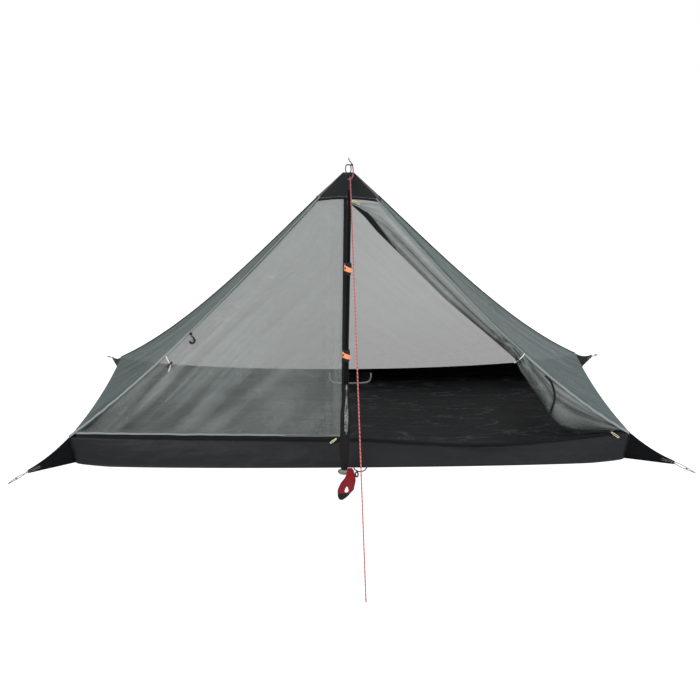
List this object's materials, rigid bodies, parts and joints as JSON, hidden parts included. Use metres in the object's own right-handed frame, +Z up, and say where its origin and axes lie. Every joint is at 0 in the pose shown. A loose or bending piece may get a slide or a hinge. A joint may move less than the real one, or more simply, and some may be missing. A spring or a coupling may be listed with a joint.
{
  "type": "one-person mesh inner tent",
  "caption": "Pyramid mesh inner tent with a bathtub floor, one door tied open, held up by an upturned folding-lever trekking pole and a front guy line.",
  "frame": {"origin": "middle of the floor's underside, on the ground", "axes": "+X along the tent's long side to the right seen from the doors, +Y to the rear wall, +Z up; the doors and the pole face -Y"},
  "size_m": [2.7316, 2.7563, 1.2503],
  "materials": {
    "black_aluminium": "anodised, satin",
    "black_foam": "closed-cell foam, matt",
    "black_nylon": "coated ripstop nylon with a slight sheen",
    "black_plastic": "moulded, matt",
    "black_webbing": "matt woven webbing",
    "grey_elastic": "thin braided elastic",
    "grey_mesh": "fine see-through insect netting",
    "light_binding": "matt woven tape",
    "orange_plastic": "moulded, slight gloss",
    "pommel_grey": "moulded, satin",
    "red_cord": "braided cord",
    "red_webbing": "woven webbing",
    "steel": "plain steel",
    "white_elastic": "braided elastic",
    "yellow_cord": "braided cord",
    "zip_slider": "black enamelled zinc",
    "zip_tape": "matt woven tape with a nylon coil"
  },
  "bodies": {
    "tent": {"apex_cone": "black_nylon", "floor_tub": "black_nylon", "foot_loop": "grey_elastic", "front_left_gusset": "black_nylon", "front_left_hook_tab": "black_webbing", "front_left_ridge_binding": "light_binding", "front_right_gusset": "black_nylon", "front_right_ridge_binding": "light_binding", "guy_line": "red_cord", "hang_loop": "black_webbing", "left_side_panel": "grey_mesh", "pole_tab": "black_webbing", "pole_tab_ring": "steel", "rear_left_gusset": "black_nylon", "rear_left_ridge_binding": "light_binding", "rear_panel": "grey_mesh", "rear_pocket": "grey_mesh", "rear_right_gusset": "black_nylon", "rear_right_hook_tab": "black_webbing", "rear_right_ridge_binding": "light_binding", "right_door": "grey_mesh", "right_door_zip_tail": "zip_tape", "right_door_zip_tape": "zip_tape", "right_side_panel": "grey_mesh", "right_tie_loop": "white_elastic", "right_tie_toggle": "black_plastic", "sill_zip_tape": "zip_tape"},
    "left_door": {"left_door": "grey_mesh", "left_door_zip_tape": "zip_tape", "left_door_hem_tape": "zip_tape"},
    "top_slider": {"top_slider": "zip_slider"},
    "top_pull": {"top_pull": "yellow_cord"},
    "left_sill_slider": {"left_sill_slider": "zip_slider"},
    "left_sill_pull": {"left_sill_pull": "yellow_cord"},
    "right_sill_slider": {"right_sill_slider": "zip_slider"},
    "right_sill_pull": {"right_sill_pull": "yellow_cord"},
    "front_left_loop": {"front_left_loop": "white_elastic"},
    "front_right_loop": {"front_right_loop": "white_elastic"},
    "rear_left_loop": {"rear_left_loop": "white_elastic"},
    "rear_right_loop": {"rear_right_loop": "white_elastic"},
    "left_tie": {"left_tie_cord": "white_elastic", "left_tie_toggle": "black_plastic"},
    "front_left_hook": {"front_left_hook": "black_plastic"},
    "rear_right_hook": {"rear_right_hook": "black_plastic"},
    "pole_tip_section": {"pole_tip_tube": "black_aluminium", "pole_ferrule": "black_plastic", "pole_steel_tip": "steel", "guy_ring": "red_cord"},
    "pole_middle_section": {"pole_middle_tube": "black_aluminium", "upper_clamp": "black_plastic"},
    "pole_grip_section": {"pole_grip_tube": "black_aluminium", "pole_grip": "black_foam", "pole_pommel": "pommel_grey", "pole_grip_inlay": "pommel_grey", "lower_clamp": "black_plastic"},
    "lower_lever": {"lower_lever": "orange_plastic"},
    "upper_lever": {"upper_lever": "orange_plastic"},
    "wrist_strap": {"wrist_strap": "red_webbing", "strap_pad": "black_webbing", "strap_ring": "black_plastic"}
  },
  "joints": [
    {"name": "left_door_swing", "type": "hinge", "parent": "tent", "child": "left_door", "pos_m": [-1.12726, -0.6, 0.0921], "axis": [0.7242, -0.0283, 0.689], "range_deg": [0, 60]},
    {"name": "top_zip", "type": "slide", "parent": "left_door", "child": "top_slider", "axis": [0, 0.0411, -0.9992], "range_m": [0, 0.9]},
    {"name": "top_pull_swing", "type": "hinge", "parent": "top_slider", "child": "top_pull", "pos_m": [-0.003, -0.64657, 1.078], "axis": [0, 1, 0], "range_deg": [-20, 85]},
    {"name": "left_sill_zip", "type": "slide", "parent": "tent", "child": "left_sill_slider", "axis": [-0.9998, 0, 0.0191], "range_m": [0, 0.92]},
    {"name": "left_sill_pull_swing", "type": "hinge", "parent": "left_sill_slider", "child": "left_sill_pull", "pos_m": [-0.055, -0.607, 0.10465], "axis": [-1, 0, 0], "range_deg": [0, 60]},
    {"name": "right_sill_zip", "type": "slide", "parent": "tent", "child": "right_sill_slider", "axis": [-0.9998, 0, -0.0191], "range_m": [0, 1]},
    {"name": "right_sill_pull_swing", "type": "hinge", "parent": "right_sill_slider", "child": "right_sill_pull", "pos_m": [1.068, -0.60733, 0.12403], "axis": [-1, 0, 0], "range_deg": [0, 90]},
    {"name": "front_left_loop_swing", "type": "hinge", "parent": "tent", "child": "front_left_loop", "pos_m": [-1.298, -0.709, 0.0152], "axis": [-0.8977, 0.4406, 0], "range_deg": [0, 80]},
    {"name": "front_right_loop_swing", "type": "hinge", "parent": "tent", "child": "front_right_loop", "pos_m": [1.32, -0.666, 0.0152], "axis": [-0.8429, -0.538, 0], "range_deg": [0, 80]},
    {"name": "rear_left_loop_swing", "type": "hinge", "parent": "tent", "child": "rear_left_loop", "pos_m": [-1.234, 0.805, 0.0577], "axis": [0.9135, 0.4069, 0], "range_deg": [0, 80]},
    {"name": "rear_right_loop_swing", "type": "hinge", "parent": "tent", "child": "rear_right_loop", "pos_m": [1.268, 0.774, 0.0577], "axis": [0.8844, -0.4668, 0], "range_deg": [0, 80]},
    {"name": "left_tie_swing", "type": "hinge", "parent": "tent", "child": "left_tie", "pos_m": [-0.7337, -0.62229, 0.46475], "axis": [-1, 0, 0], "range_deg": [0, 90]},
    {"name": "front_left_hook_swing", "type": "hinge", "parent": "tent", "child": "front_left_hook", "pos_m": [-0.628, -0.62525, 0.54816], "axis": [-1, 0, 0], "range_deg": [0, 80]},
    {"name": "rear_right_hook_swing", "type": "hinge", "parent": "tent", "child": "rear_right_hook", "pos_m": [0.64745, 0.03428, 0.51392], "axis": [-1, 0, 0], "range_deg": [0, 60]},
    {"name": "pole_swing", "type": "hinge", "parent": "tent", "child": "pole_tip_section", "pos_m": [0.006, -0.684, 1.172], "axis": [-1, 0, 0], "range_deg": [0, 20]},
    {"name": "middle_section_slide", "type": "slide", "parent": "pole_tip_section", "child": "pole_middle_section", "axis": [0.0264, 0.0452, 0.9986], "range_m": [0, 0.25]},
    {"name": "grip_section_slide", "type": "slide", "parent": "pole_middle_section", "child": "pole_grip_section", "axis": [0.0264, 0.0452, 0.9986], "range_m": [0, 0.28]},
    {"name": "lower_lever_turn", "type": "hinge", "parent": "pole_grip_section", "child": "lower_lever", "pos_m": [-0.02777, -0.71799, 0.49489], "axis": [-0.0264, -0.0452, -0.9986], "range_deg": [0, 100]},
    {"name": "upper_lever_turn", "type": "hinge", "parent": "pole_middle_section", "child": "upper_lever", "pos_m": [-0.01773, -0.7023, 0.83739], "axis": [-0.0264, -0.0452, -0.9986], "range_deg": [0, 100]},
    {"name": "wrist_strap_swing", "type": "hinge", "parent": "pole_grip_section", "child": "wrist_strap", "pos_m": [-0.0025, -0.7365, 0.025], "axis": [-1, 0, 0], "range_deg": [0, 52]}
  ]
}
